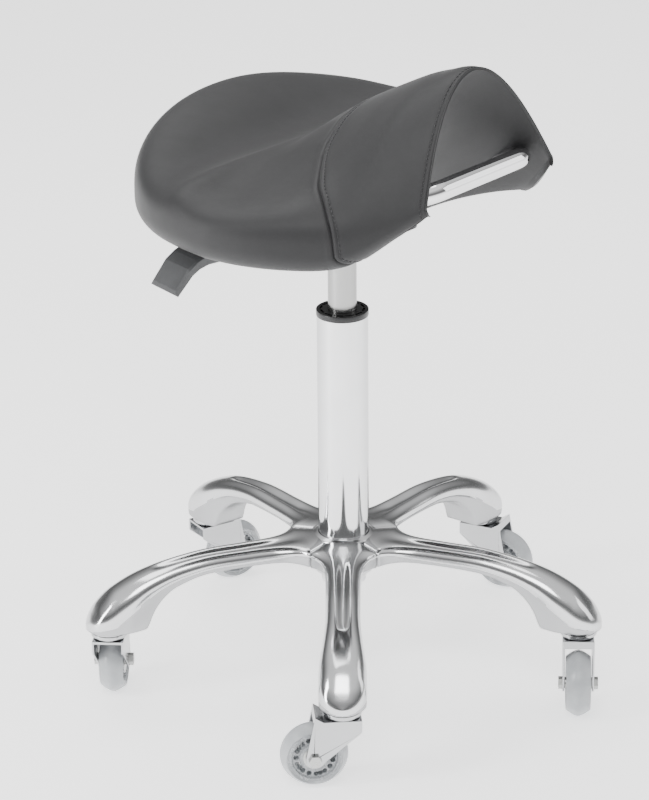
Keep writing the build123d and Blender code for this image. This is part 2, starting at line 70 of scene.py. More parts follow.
REAR_SEAM = [(0, 39), (20, 38), (42, 38), (75, 47), (88, 53), (103, 63), (120, 76), (132, 86),
             (138, 94), (150, 112), (156, 124)]
UNDERSIDE_Z = 502.4


def along(stations, value):
    """Smooth curve through (place, value) stations, flat beyond its ends; value may be an array."""
    places = np.array([p for p, _ in stations], float)
    heights = np.array([h for _, h in stations], float)
    value = np.clip(np.asarray(value, float), places[0], places[-1])
    last = len(places) - 1
    before = np.maximum(np.arange(last + 1) - 1, 0)
    after = np.minimum(np.arange(last + 1) + 1, last)
    slope = (heights[after] - heights[before]) / (places[after] - places[before])
    k = np.clip(np.searchsorted(places, value) - 1, 0, last - 1)
    span = places[k + 1] - places[k]
    t = (value - places[k]) / span
    rise = 3 * t ** 2 - 2 * t ** 3
    bend = (t ** 3 - 2 * t ** 2 + t) * slope[k] + (t ** 3 - t ** 2) * slope[k + 1]
    return heights[k] + (heights[k + 1] - heights[k]) * rise + span * bend


def half_width(s):
    """Half of the seat's width: rounded behind the column, tapering ahead of it."""
    back = np.clip(-s, 0, SEAT_REAR) / SEAT_REAR
    rear = SEAT_HALF_WIDTH * (1 - back ** REAR_POWER) ** (1 / REAR_POWER)
    taper = (np.clip(s, 0, None) / SEAT_FRONT) ** FRONT_TAPER_POWER
    front = SEAT_HALF_WIDTH + (FRONT_HALF_WIDTH - SEAT_HALF_WIDTH) * taper
    return np.where(s < 0, rear, front)


def rear_outline(c, sn):
    """Distance from the column to the seat's edge behind it, from an angle's cosine and sine."""
    return 1 / ((abs(c) / SEAT_REAR) ** REAR_POWER
                + (abs(sn) / SEAT_HALF_WIDTH) ** REAR_POWER) ** (1 / REAR_POWER)


def top_height(s, x, ratio):
    """Height of the seat's top; ratio is the share of the way out to its edge."""
    edge = along(EDGE, s)
    turn = s ** 2 / (s ** 2 + x ** 2 + 1)
    rear_rim = SIDE_RIM + (REAR_RIM - SIDE_RIM) * turn
    front_rim = SIDE_RIM * np.clip(1 - s / RIM_END_S, 0, 1) ** 2
    top = along(CROWN, s) + np.where(s < 0, rear_rim, front_rim) * ratio ** RIM_POWER
    pad = (1 - ratio ** PAD_FLATNESS) ** PAD_SHOULDER
    ridge = (1 - ratio ** 2) ** along(RIDGE_POWER, s)
    share = along(PAD_SHARE, s)
    return edge + (top - edge) * (share * pad + (1 - share) * ridge)


def leaned(s, x, z):
    """A seat point in metres; the front leans back as it rises."""
    lean = FRONT_LEAN * (np.clip(s, 0, None) / SEAT_FRONT) ** 2
    forward = s - lean * (z - along(EDGE, s))
    return np.stack([x, -forward, z], -1) * MM


HEM_RISE_SHARE = 0.4
HEM_RUN = 17.0
HEM_Z = 501.8
HEM_END_S = 95.0
HEM_GONE_S = 125.0
HEM_LEFT = 0.08


def hem(s, a, x, z, low):
    """Past the lip the leather goes up to the shell and in under it; a is 2 to 3.

    At the pommel it only turns in.
    """
    part = np.clip(a - 2, 0, 1)
    rise = np.clip(part / HEM_RISE_SHARE, 0, 1)
    run = np.clip((part - HEM_RISE_SHARE) / (1 - HEM_RISE_SHARE), 0, 1)
    gone = np.clip((s - HEM_END_S) / (HEM_GONE_S - HEM_END_S), 0, 1)
    tuck = 1 - gone * gone * (3 - 2 * gone)
    inward = (rise + (HEM_RUN - 1) * run) * (HEM_LEFT + (1 - HEM_LEFT) * tuck)
    return x - inward, z + rise * ((HEM_Z - low) * tuck + (1 - tuck))


def skin(s, t):
    """Outer face of the cover ahead of the column: |t| 0-1 top, 1-2 lip, 2-3 hem."""
    s, t = np.broadcast_arrays(np.asarray(s, float), np.asarray(t, float))
    a = np.abs(t)
    ratio = np.sin(np.clip(a, 0, 1) * math.pi / 2)
    turn = np.clip(a - 1, 0, 1) * math.pi / 2
    x = half_width(s) * ratio - along(LIP_INSET, s) * (1 - np.cos(turn))
    z = top_height(s, x, ratio) - along(LIP, s) * np.sin(turn)
    x, z = hem(s, a, x, z, along(EDGE, s) - along(LIP, s))
    return leaned(s, np.sign(t) * x, z)


def rear_skin(angle, a):
    """Outer face of the cover behind the column, by angle round the back and the same a."""
    c, sn = np.cos(angle), np.sin(angle)
    reach = rear_outline(c, sn)
    ratio = np.sin(np.clip(a, 0, 1) * math.pi / 2)
    turn = np.clip(a - 1, 0, 1) * math.pi / 2
    edge_s = reach * c
    radius = reach * ratio - REAR_LIP * (1 - np.cos(turn))
    s, x = radius * c, radius * sn
    top = top_height(np.minimum(s, JUST_BEHIND_S), np.abs(x), ratio)
    z = np.where(a > 1, along(EDGE, edge_s), top) - REAR_LIP * np.sin(turn)
    inward, z = hem(s, a, radius, z, along(EDGE, edge_s) - REAR_LIP)
    return np.stack([inward * sn, -inward * c, z], -1) * MM


# ------------------------------------------------------------------ mesh helpers
def grid_faces(rows, columns, flip=False):
    """Quads of a rows by columns grid whose vertices are numbered row by row."""
    faces = []
    for i in range(rows - 1):
        for j in range(columns - 1):
            a, b = i * columns + j, i * columns + j + 1
            c, d = b + columns, a + columns
            faces.append((a, d, c, b) if flip else (a, b, c, d))
    return faces


def ring_faces(rings, around, start=0, closed=False):
    """Quads between rings of vertices; closed joins the last ring to the first."""
    faces = []
    for i in range(rings if closed else rings - 1):
        low = start + i * around
        high = start + (i + 1) % rings * around
        for k in range(around):
            after = (k + 1) % around
            faces.append((low + k, low + after, high + after, high + k))
    return faces


def rework(piece, change):
    """Runs a change to a piece's mesh through bmesh."""
    work = bmesh.new()
    work.from_mesh(piece.data)
    change(work)
    work.to_mesh(piece.data)
    work.free()


def add_mesh(name, vertices, faces, merge=0.0):
    """A smooth-shaded mesh object; vertices closer than merge are joined."""
    def join(work):
        bmesh.ops.remove_doubles(work, verts=work.verts, dist=merge)
        bmesh.ops.dissolve_degenerate(work, edges=work.edges, dist=merge)

    mesh = bpy.data.meshes.new(name)
    mesh.from_pydata([tuple(v) for v in vertices], [], faces)
    piece = bpy.data.objects.new(name, mesh)
    if merge:
        rework(piece, join)
    mesh.polygons.foreach_set("use_smooth", [True] * len(mesh.polygons))
    mesh.update()
    bpy.context.scene.collection.objects.link(piece)
    return piece


def agree_normals(piece):
    """Turns the faces of a closed piece outwards."""
    rework(piece, lambda work: bmesh.ops.recalc_face_normals(work, faces=work.faces))


def look_away_from(piece, centre):
    """Turns the faces of an open piece so that they look away from a point."""
    def turn(work):
        bmesh.ops.recalc_face_normals(work, faces=work.faces)
        total = sum((f.calc_center_median() - centre).dot(f.normal) * f.calc_area() for f in work.faces)
        if total < 0:
            bmesh.ops.reverse_faces(work, faces=work.faces)

    rework(piece, turn)


def drop_loose(piece):
    """Deletes the vertices that no face uses."""
    def drop(work):
        loose = [v for v in work.verts if not v.link_faces]
        bmesh.ops.delete(work, geom=loose, context="VERTS")

    rework(piece, drop)


def get_points(piece):
    flat = np.zeros(len(piece.data.vertices) * 3)
    piece.data.vertices.foreach_get("co", flat)
    return flat.reshape(-1, 3)


def get_normals(piece):
    return np.array([tuple(v.normal) for v in piece.data.vertices])


def set_points(piece, points):
    piece.data.vertices.foreach_set("co", points.ravel())
    piece.data.update()


def distance_to(points, line):
    """Distance from each point to a polyline, in the same unit."""
    best = np.full(len(points), np.inf)
    for a, b in zip(line[:-1], line[1:]):
        step = b - a
        t = np.clip((points - a) @ step / (step @ step + 1e-18), 0, 1)
        best = np.minimum(best, np.linalg.norm(points - a - t[:, None] * step, axis=1))
    return best


def lengths_along(line):
    """Distance from the start of a polyline to each of its points."""
    steps = np.linalg.norm(np.diff(line, axis=0), axis=1)
    return np.concatenate([[0], np.cumsum(steps)])


# ------------------------------------------------------------------ materials
class Shader:
    """A small helper round one Principled material."""

    def __init__(self, name, **constants):
        self.material = bpy.data.materials.new(name)
        self.material.use_nodes = True
        self.tree = self.material.node_tree
        self.surface = self.tree.nodes["Principled BSDF"]
        for socket, value in constants.items():
            self.surface.inputs[socket.replace("_", " ")].default_value = value
        self.place = self.node("ShaderNodeTexCoord").outputs["Object"]

    def node(self, kind, inputs=None, **settings):
        made = self.tree.nodes.new(kind)
        for key, value in settings.items():
            setattr(made, key, value)
        for key, value in (inputs or {}).items():
            if isinstance(value, bpy.types.NodeSocket):
                self.tree.links.new(value, made.inputs[key])
            else:
                made.inputs[key].default_value = value
        return made

    def stretched(self, scale):
        return self.node("ShaderNodeMapping", {"Vector": self.place, "Scale": scale}).outputs["Vector"]

    def noise(self, scale, detail=3.0, roughness=0.55, place=None):
        return self.node("ShaderNodeTexNoise", {"Vector": place or self.place, "Scale": scale,
                                                "Detail": detail, "Roughness": roughness}).outputs["Fac"]

    def cells(self, scale, feature="F1"):
        return self.node("ShaderNodeTexVoronoi", {"Vector": self.place, "Scale": scale},
                         feature=feature).outputs["Distance"]

    def ramp(self, value, stops):
        made = self.node("ShaderNodeValToRGB", {"Fac": value})
        elements = made.color_ramp.elements
        while len(elements) < len(stops):
            elements.new(0.5)
        for element, (position, colour) in zip(elements, stops):
            element.position = position
            shade = colour if isinstance(colour, tuple) else (colour, colour, colour)
            element.color = (*shade, 1.0)
        return made.outputs["Color"]

    def spread(self, value, low, high):
        limits = {"Value": value, "To Min": low, "To Max": high}
        return self.node("ShaderNodeMapRange", limits).outputs["Result"]

    def mixed(self, share, first, second, blend="MIX"):
        made = self.node("ShaderNodeMix", {"Factor": share}, data_type="RGBA", blend_type=blend)
        for index, value in ((6, first), (7, second)):
            self.tree.links.new(value, made.inputs[index])
        return made.outputs[2]

    def bump(self, height, strength, distance, below=None):
        inputs = {"Height": height, "Strength": strength, "Distance": distance}
        if below:
            inputs["Normal"] = below
        return self.node("ShaderNodeBump", inputs).outputs["Normal"]

    def to(self, socket, value):
        self.tree.links.new(value, self.surface.inputs[socket])


def leather(name, dark, light):
    """Satin upholstery leather: pebble grain and broad changes of tone."""
    s = Shader(name, Specular_IOR_Level=0.34, Sheen_Weight=0.08, Sheen_Roughness=0.5)
    broad = s.noise(9.0, 4.0)
    fine = s.noise(260.0, 3.0)
    shade = s.ramp(broad, [(0.25, dark), (0.8, light)])
    s.to("Base Color", s.mixed(0.18, shade, s.ramp(fine, [(0.3, dark), (0.75, light)])))
    pebbles = s.cells(820.0)
    creases = s.cells(430.0, "DISTANCE_TO_EDGE")
    s.to("Roughness", s.spread(s.noise(60.0, 4.0), 0.48, 0.60))
    under = s.bump(s.noise(38.0, 4.0), 0.10, 0.0008)
    under = s.bump(creases, 0.12, 0.00025, under)
    s.to("Normal", s.bump(pebbles, 0.16, 0.00018, under))
    return s.material


def polished_metal(name, colour, roughness, lines, run=(1, 1, 1), waviness=0.05, edge=0.6):
    """Metal with faint polishing lines, uneven gloss, a slightly wavy surface and a painted dark reflection
    on its glancing sides; edge sets how dark that painted reflection gets.
    """
    s = Shader(name, Metallic=1.0)
    cloud = s.noise(24.0, 5.0)
    darker = tuple(c * 0.93 for c in colour)
    # Painted shade: the base colour is darkened towards glancing angles, a painted dark reflection on the
    # sides of the metal.
    facing = s.node("ShaderNodeLayerWeight", {"Blend": 0.35}).outputs["Facing"]
    shade = s.ramp(facing, [(0.15, 1.0), (0.6, 0.5 + edge / 2), (0.95, edge)])
    s.to("Base Color", s.mixed(1.0, s.ramp(cloud, [(0.3, darker), (0.7, colour)]), shade, "MULTIPLY"))
    scratch = s.noise(900.0, 2.0, 0.7, s.stretched(run))
    mixed = s.node("ShaderNodeMath", {0: s.spread(cloud, *roughness), 1: s.spread(scratch, -0.02, 0.02)},
                   operation="ADD").outputs[0]
    s.to("Roughness", mixed)
    wavy = s.bump(s.noise(14.0, 2.0), waviness, 0.002)
    s.to("Normal", s.bump(scratch, lines, 0.00006, wavy))
    return s.material


def plastic(name, dark, light, roughness, texture, scale=900.0, specular=0.5):
    """Moulded plastic or paint with a fine spark texture and soft scuffs."""
    s = Shader(name, Specular_IOR_Level=specular)
    s.to("Base Color", s.ramp(s.noise(30.0, 5.0), [(0.3, dark), (0.75, light)]))
    s.to("Roughness", s.spread(s.noise(140.0, 4.0), roughness - 0.07, roughness + 0.07))
    s.to("Normal", s.bump(s.noise(scale, 3.0), texture, 0.0002))
    return s.material


def clear_plastic(name, colour, deep, transmission, roughness):
    """Translucent polyurethane or moulded core, a little cloudy inside."""
    s = Shader(name, Transmission_Weight=transmission, IOR=1.46, Coat_Weight=0.1)
    s.to("Base Color", s.ramp(s.noise(55.0, 4.0), [(0.25, deep), (0.75, colour)]))
    s.to("Roughness", s.spread(s.noise(180.0, 4.0), roughness - 0.05, roughness + 0.08))
    s.to("Normal", s.bump(s.noise(320.0, 3.0), 0.06, 0.0002))
    return s.material


def woven(name, dark, light, scale):
    """Thread, or thin woven cloth."""
    s = Shader(name, Specular_IOR_Level=0.2, Sheen_Weight=0.3)
    weave = s.node("ShaderNodeTexWave", {"Vector": s.place, "Scale": scale, "Distortion": 1.5,
                                         "Detail": 2.0}).outputs["Fac"]
    s.to("Base Color", s.ramp(weave, [(0.2, dark), (0.8, light)]))
    s.to("Roughness", s.spread(s.noise(200.0), 0.8, 0.95))
    s.to("Normal", s.bump(weave, 0.3, 0.0002))
    return s.material


LEATHER = leather("charcoal_leather", (0.015, 0.015, 0.016), (0.023, 0.023, 0.024))
THREAD = woven("sewing_thread", (0.010, 0.010, 0.011), (0.024, 0.024, 0.026), 900.0)
DUST_CLOTH = woven("black_dust_cloth", (0.010, 0.010, 0.010), (0.022, 0.022, 0.022), 500.0)
# The edge value of each metal sets how dark its painted reflection gets at glancing angles.
ALUMINIUM = polished_metal("polished_aluminium", (0.70, 0.705, 0.715), (0.11, 0.20), lines=0.10,
                           run=(1, 1, 0.15), waviness=0.10, edge=0.55)
# Painted shade: the arm cheeks below the crease get a darker base colour than the cap, a shaded copy of the
# polished aluminium with satin roughness.
PAINTED_SHADE_CHEEK = polished_metal("satin_cheek_painted_shade", (0.47, 0.475, 0.485), (0.26, 0.38), lines=0.30,
                            run=(1, 1, 0.3), waviness=0.12, edge=0.5)
TUBE_CHROME = polished_metal("satin_tube_chrome", (0.86, 0.865, 0.875), (0.07, 0.13), lines=0.05,
                             run=(1, 1, 0.03), waviness=0.02, edge=0.36)
BAR_CHROME = polished_metal("bright_bar_chrome", (0.90, 0.90, 0.91), (0.035, 0.08), lines=0.02,
                            run=(0.1, 1, 1), waviness=0.03)
FORK_CHROME = polished_metal("plated_fork_sheet", (0.52, 0.525, 0.535), (0.12, 0.24), lines=0.08,
                             run=(1, 1, 0.2), waviness=0.20, edge=0.5)
BRUSHED = polished_metal("brushed_cylinder_steel", (0.42, 0.42, 0.415), (0.20, 0.32), lines=0.35,
                         run=(1, 1, 0.02), waviness=0.02, edge=0.45)
ZINC = polished_metal("zinc_steel", (0.50, 0.505, 0.495), (0.22, 0.36), lines=0.20, waviness=0.06)
BLACK_PLASTIC = plastic("black_nylon", (0.008, 0.008, 0.009), (0.018, 0.018, 0.020), 0.38, 0.10)
SHELL_PLASTIC = plastic("black_shell", (0.010, 0.010, 0.011), (0.020, 0.020, 0.021), 0.50, 0.20, 500.0)
BLACK_STEEL = plastic("black_powder_coat", (0.011, 0.011, 0.012), (0.022, 0.022, 0.023), 0.42, 0.35, 1400.0)
LEVER_PLASTIC = plastic("dark_grey_lever", (0.045, 0.046, 0.048), (0.075, 0.077, 0.080), 0.48, 0.45, 700.0)
RUBBER = plastic("matt_rubber", (0.010, 0.010, 0.010), (0.018, 0.018, 0.018), 0.75, 0.30, 600.0, 0.25)
TYRE = clear_plastic("translucent_tyre", (0.62, 0.64, 0.66), (0.50, 0.52, 0.54), 0.35, 0.22)
CORE = clear_plastic("translucent_core", (0.60, 0.62, 0.64), (0.44, 0.46, 0.48), 0.45, 0.25)

# ------------------------------------------------------------------ nodes kept from the CAD part
FINISH = {
    "star_base": ALUMINIUM, "column_tube": TUBE_CHROME, "guide_bush": BLACK_PLASTIC,
    "gas_cylinder": BRUSHED, "taper_socket": BRUSHED, "handle_tube": BAR_CHROME,
    "handle_clamps": BLACK_PLASTIC, "thrust_bearing_cage": BLACK_PLASTIC, "rubber_buffer": RUBBER,
    "seat_plate": BLACK_STEEL, "lever_bracket": BLACK_STEEL, "seat_shell": SHELL_PLASTIC,
    "lever_grip": LEVER_PLASTIC, "caster_stems": FORK_CHROME,
}
FINISH_BY_START = {"fork_": FORK_CHROME, "axle_": ZINC, "tyre_": TYRE, "wheel_core_": CORE,
                   "wheel_bearings_": ZINC}
ROUNDING = {"seat_plate": 0.8, "lever_bracket": 0.3, "lever_grip": 0.9, "handle_clamps": 0.6,
            "guide_bush": 0.3, "lever_rod": 0.3, "mount_bolts": 0.3, "handle_screws": 0.3,
            "taper_socket": 0.5}
CASTER_ROUNDING = 0.35
CASTER_STARTS = ("fork_", "axle_", "wheel_core_")
WELD_DISTANCE = 1e-6
ROUNDED_FROM_DEGREES = 32


def finish_for(node):
    if node in FINISH:
        return FINISH[node]
    for start, material in FINISH_BY_START.items():
        if node.startswith(start):
            return material
    return ZINC


def dress_cad_nodes():
    """Materials and small edge roundings on the nodes that stay as they are."""
    for name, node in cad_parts.items():
        node.data.materials.clear()
        node.data.materials.append(finish_for(name))
        radius = ROUNDING.get(name, CASTER_ROUNDING if name.startswith(CASTER_STARTS) else 0)
        if radius:
            weld = node.modifiers.new("weld", "WELD")
            weld.merge_threshold = WELD_DISTANCE
            bevel = node.modifiers.new("edges", "BEVEL")
            bevel.width = radius * MM
            bevel.segments = 2
            bevel.limit_method = "ANGLE"
            bevel.angle_limit = math.radians(ROUNDED_FROM_DEGREES)
            bevel.harden_normals = False


# ------------------------------------------------------------------ seat covers
TOP_STEPS = 46
LIP_STEPS = 8
HEM_STEPS = 5
STEPS = ([k / TOP_STEPS for k in range(TOP_STEPS + 1)]
         + [1 + k / LIP_STEPS for k in range(1, LIP_STEPS + 1)]
         + [2 + k / HEM_STEPS for k in range(1, HEM_STEPS + 1)])
COLUMNS = np.array([-a for a in reversed(STEPS[1:])] + STEPS)
SEAM_ROUNDS = 60
SEAM_FIRST_GUESS = 60.0
SEAM_LIP_ADVANCE = 5.0
RATE_PROBE = 3.0
RATE_LIMITS = (0.25, 1.2)


def rear_seam_forward(t):
    """Where each column of the skin crosses the seam behind the saddle."""
    s = np.full(len(t), SEAM_FIRST_GUESS)
    for _ in range(SEAM_ROUNDS):
        across = np.abs(skin(s, np.clip(t, -1, 1))[:, 0]) / MM
        s = 0.5 * s + 0.5 * along(REAR_SEAM, across)
    lip_share = np.clip(np.abs(t) - 1, 0, 1)
    return s + SEAM_LIP_ADVANCE * lip_share


def step_rate(s, line, sign):
    """Millimetres from a seam per millimetre of s, for each column."""
    gap = distance_to(skin(s + sign * RATE_PROBE, COLUMNS), line) / MM
    return np.clip(gap / RATE_PROBE, *RATE_LIMITS)


REAR_SEAM_S = rear_seam_forward(COLUMNS)
FRONT_SEAM_S = np.full(len(COLUMNS), SEAT_FRONT)
REAR_SEAM_LINE = skin(REAR_SEAM_S, COLUMNS)
FRONT_SEAM_LINE = skin(FRONT_SEAM_S, COLUMNS)
REAR_RATE = step_rate(REAR_SEAM_S, REAR_SEAM_LINE, 1)
FRONT_RATE = step_rate(FRONT_SEAM_S, FRONT_SEAM_LINE, -1)

# Rows of the cage beside a seam, and the (distance, height, width) of each swell or dip there.
ROWS_FROM_SEAM = [0.0, 0.5, 1.0, 1.7, 2.6, 3.6, 4.6, 5.4, 6.2, 7.4, 9.0, 11.5, 15.0]
STITCH_OFFSET = 5.4
PLAIN_SEAM = [(0.0, -1.7, 1.0), (4.5, 0.5, 3.0)]
STITCHED_SEAM = [(0.0, -1.7, 1.0), (3.0, 0.35, 1.4), (STITCH_OFFSET, -0.45, 0.8), (9.5, 0.25, 3.5)]
SKIN_THICKNESS = 0.7
SLACK = 0.3
SLACK_FADE = 12.0
SLACK_SCALE = 0.065
WRINKLE_HEIGHT = 1.1
WRINKLE_START = 3.0
WRINKLE_REACH = 42.0
WRINKLE_HALF_WIDTH = 0.085
WRINKLE_AT_SIDES = 0.35
WRINKLE_SCALE = 0.011
WRINKLE_STRETCH = (1, 0.16, 0.16)
WRINKLE_OFFSET = 3.0


def cloth_noise(points, scale, stretch=(1, 1, 1), offset=0.0):
    size = np.array(stretch) / scale
    return np.array([noise.noise(Vector(p * size) + Vector((offset, 0, 0))) for p in points])


def shape_panel(piece, seams, profile, wrinkles=0.0):
    """Draws the panel in at its seams, puffs it beside them and adds slack to the leather."""
    points, normals = get_points(piece), get_normals(piece)
    move = np.zeros(len(points))
    nearest = np.full(len(points), np.inf)
    for line in seams:
        gap = distance_to(points, line) / MM
        nearest = np.minimum(nearest, gap)
        for place, height, width in profile:
            move += height * np.exp(-((gap - place) / width) ** 2)
    fade = np.clip(nearest / SLACK_FADE, 0, 1)
    move += SLACK * fade * cloth_noise(points, SLACK_SCALE)
    if wrinkles:
        near = np.exp(-(nearest / WRINKLE_REACH)) * np.clip(nearest / WRINKLE_START, 0, 1)
        centre = np.exp(-(points[:, 0] / WRINKLE_HALF_WIDTH) ** 2)
        folds = cloth_noise(points, WRINKLE_SCALE, WRINKLE_STRETCH, WRINKLE_OFFSET)
        move += wrinkles * near * (WRINKLE_AT_SIDES + (1 - WRINKLE_AT_SIDES) * centre) * folds
    set_points(piece, points + normals * (move * MM)[:, None])


def thicken(piece):
    """Smooths the cage, then gives the skin its thickness inwards."""
    smooth = piece.modifiers.new("smooth", "SUBSURF")
    smooth.levels = smooth.render_levels = 1
    solid = piece.modifiers.new("thickness", "SOLIDIFY")
    solid.thickness = SKIN_THICKNESS * MM
    solid.offset = -1
    return piece


REAR_ROWS = 13
REAR_TURNS = 72
REAR_INSIDE = Vector((0, 0, 0.53))
SADDLE_ROWS = 24
SADDLE_INSIDE = Vector((0, -0.12, 0.53))
PANEL_MERGE = 2e-6


def rear_panel():
    """The leather panel over the back of the seat."""
    rows = [np.zeros(len(COLUMNS))]
    for share in np.linspace(0.0, 1.0, REAR_ROWS)[1:-1]:
        rows.append((REAR_SEAM_S - ROWS_FROM_SEAM[-1] / REAR_RATE) * share)
    for gap in reversed(ROWS_FROM_SEAM):
        rows.append(REAR_SEAM_S - gap / REAR_RATE)
    front = np.concatenate([skin(np.maximum(s, 0), COLUMNS) for s in rows])
    front_faces = grid_faces(len(rows), len(COLUMNS))
    angles = np.linspace(math.pi / 2, 3 * math.pi / 2, REAR_TURNS + 1)
    rear = np.concatenate([rear_skin(np.full(len(STEPS), a), np.array(STEPS)) for a in angles])
    rear_grid = grid_faces(REAR_TURNS + 1, len(STEPS), True)
    rear_faces = [tuple(len(front) + i for i in face) for face in rear_grid]
    piece = add_mesh("rear_cover_panel", np.concatenate([front, rear]), front_faces + rear_faces, PANEL_MERGE)
    look_away_from(piece, REAR_INSIDE)
    shape_panel(piece, [REAR_SEAM_LINE], PLAIN_SEAM, WRINKLE_HEIGHT)
    return thicken(piece)


def saddle_panel():
    """The panel over the raised saddle, between its two seams."""
    rows = [REAR_SEAM_S + gap / REAR_RATE for gap in ROWS_FROM_SEAM]
    inner_start = REAR_SEAM_S + ROWS_FROM_SEAM[-1] / REAR_RATE
    inner_end = FRONT_SEAM_S - ROWS_FROM_SEAM[-1] / FRONT_RATE
    for share in np.linspace(0.0, 1.0, SADDLE_ROWS)[1:-1]:
        rows.append(inner_start + (inner_end - inner_start) * share)
    for gap in reversed(ROWS_FROM_SEAM):
        rows.append(FRONT_SEAM_S - gap / FRONT_RATE)
    points = np.concatenate([skin(s, COLUMNS) for s in rows])
    forward = np.concatenate(rows)
    outer = np.tile(np.abs(COLUMNS), len(rows))
    faces = [f for f in grid_faces(len(rows), len(COLUMNS))
             if outer[list(f)].max() <= 2 or forward[list(f)].max() < GUSSET_SIDE_S]
    piece = add_mesh("saddle_cover_panel", points, faces)
    drop_loose(piece)
    look_away_from(piece, SADDLE_INSIDE)
    shape_panel(piece, [REAR_SEAM_LINE, FRONT_SEAM_LINE], STITCHED_SEAM)
    return thicken(piece)


GUSSET_BOTTOM_S = 92.0
GUSSET_SIDE_S = 127.0
GUSSET_FLANGE_S = 50.0
GUSSET_FLANGE_X = 0.155
GUSSET_DEPTH = 0.007
GUSSET_HOLLOW_WAY = np.array([0, 1, 0.3])
GUSSET_SHARES = [0, 0.006, 0.014, 0.025, 0.04, 0.06, 0.09, 0.13] + list(np.linspace(0.18, 1, 24))
GUSSET_INSIDE = Vector((0, -0.12, 0.64))
FOOT_BEND = 2.5
FLANGE_Z = 0.5029
FLANGE_SHARES = np.linspace(0, 1, 9)[1:]
FLANGE_BEND = 0.6


def gusset_panel():
    """The concave panel under the pommel.

    It runs from the front seam down the lip to its foot under the seat, with a flange behind.
    """
    t = COLUMNS[np.abs(COLUMNS) <= 2]
    arch = skin(np.full(len(t), SEAT_FRONT), t)
    places = lengths_along(arch)
    u = places[:, None] / places[-1]
    spread = 2 * u - 1
    corner = skin(np.array([GUSSET_SIDE_S]), np.array([2.0]))[0]
    bend = np.abs(spread) ** FOOT_BEND
    foot_y = -GUSSET_BOTTOM_S * MM * (1 - bend) + corner[1] * bend
    foot = np.concatenate([spread * corner[0], foot_y, FLANGE_Z * (1 - bend) + corner[2] * bend], 1)
    rows = []
    for v in GUSSET_SHARES:
        side_s = np.array([SEAT_FRONT + (GUSSET_SIDE_S - SEAT_FRONT) * v])
        left, right = skin(side_s, np.array([-2.0])), skin(side_s, np.array([2.0]))
        ends = (1 - u) * ((1 - v) * arch[:1] + v * foot[:1]) + u * ((1 - v) * arch[-1:] + v * foot[-1:])
        row = (1 - v) * arch + v * foot + (1 - u) * left + u * right - ends
        rows.append(row + GUSSET_HOLLOW_WAY * GUSSET_DEPTH * 4 * v * (1 - v) * (1 - spread ** 2))
    for v in FLANGE_SHARES:
        x = spread * (corner[0] + (GUSSET_FLANGE_X - corner[0]) * v ** FLANGE_BEND)
        y = foot[:, 1:2] * (1 - v) - GUSSET_FLANGE_S * MM * v
        rows.append(np.concatenate([x, y, foot[:, 2:] * (1 - v) + FLANGE_Z * v], 1))
    piece = add_mesh("gusset_cover_panel", np.concatenate(rows), grid_faces(len(rows), len(t)))
    look_away_from(piece, GUSSET_INSIDE)
    shape_panel(piece, [FRONT_SEAM_LINE], PLAIN_SEAM)
    return thicken(piece)


STITCH_PITCH = 4.6
STITCH_LENGTH = 3.3
STITCH_R = 0.55
STITCH_SINK = 0.12
STITCH_SLANT = (0.04, 0.12)
STITCH_AROUND = 8
STITCH_MERGE = 1e-6
STITCHED_TO_T = 1.9
STITCH_SHAPE = [(-0.5, 0.0), (-0.48, 0.55), (-0.38, 0.95), (0.0, 1.0), (0.38, 0.95), (0.48, 0.55), (0.5, 0.0)]
SEAT_MIDDLE = np.array([0, -0.09, 0.53])


def even_walk(line, pitch):
    """Points and directions every pitch along a polyline."""
    place = lengths_along(line)
    wanted = (np.arange(int(place[-1] / pitch)) + 0.5) * pitch
    points = np.stack([np.interp(wanted, place, line[:, i]) for i in range(3)], -1)
    ahead = np.stack([np.interp(wanted + pitch / 4, place, line[:, i]) for i in range(3)], -1)
    return points, ahead - points


def stitch_row(name, seam_s, rate, sign):
    """One row of thread stitches beside a seam, each a small sunk capsule."""
    visible = np.abs(COLUMNS) <= STITCHED_TO_T
    s = seam_s[visible] + sign * STITCH_OFFSET / rate[visible]
    points, directions = even_walk(skin(s, COLUMNS[visible]), STITCH_PITCH * MM)
    vertices, faces = [], []
    for point, direction in zip(points, directions):
        axis = Vector(direction).normalized()
        away = Vector(point - SEAT_MIDDLE).normalized()
        side = axis.cross(away).normalized()
        up = side.cross(axis)
        slant = axis + side * random.uniform(*STITCH_SLANT)
        base = Vector(point) - up * (STITCH_SINK * MM)
        faces += ring_faces(len(STITCH_SHAPE), STITCH_AROUND, len(vertices))
        for place, size in STITCH_SHAPE:
            for k in range(STITCH_AROUND):
                angle = 2 * math.pi * k / STITCH_AROUND
                ring = (side * math.cos(angle) + up * math.sin(angle)) * (STITCH_R * MM * size)
                vertices.append(base + slant * (place * STITCH_LENGTH * MM) + ring)
    return add_mesh(name, vertices, faces, STITCH_MERGE)


def dress(piece, material, body):
    """Gives a new piece its material and its body."""
    piece.data.materials.append(material)
    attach(piece, body)
    return piece


def seat_covers():
    """The three leather panels and the stitches beside their seams."""
    rear = dress(rear_panel(), LEATHER, "seat")
    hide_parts("cover_rear", "seat_foam")
    saddle = dress(saddle_panel(), LEATHER, "seat")
    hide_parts("cover_saddle")
    gusset = dress(gusset_panel(), LEATHER, "seat")
    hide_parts("cover_gusset")
    rows = [stitch_row("rear_seam_stitches", REAR_SEAM_S, REAR_RATE, 1),
            stitch_row("front_seam_stitches", FRONT_SEAM_S, FRONT_RATE, -1)]
    for row in rows:
        dress(row, THREAD, "seat")


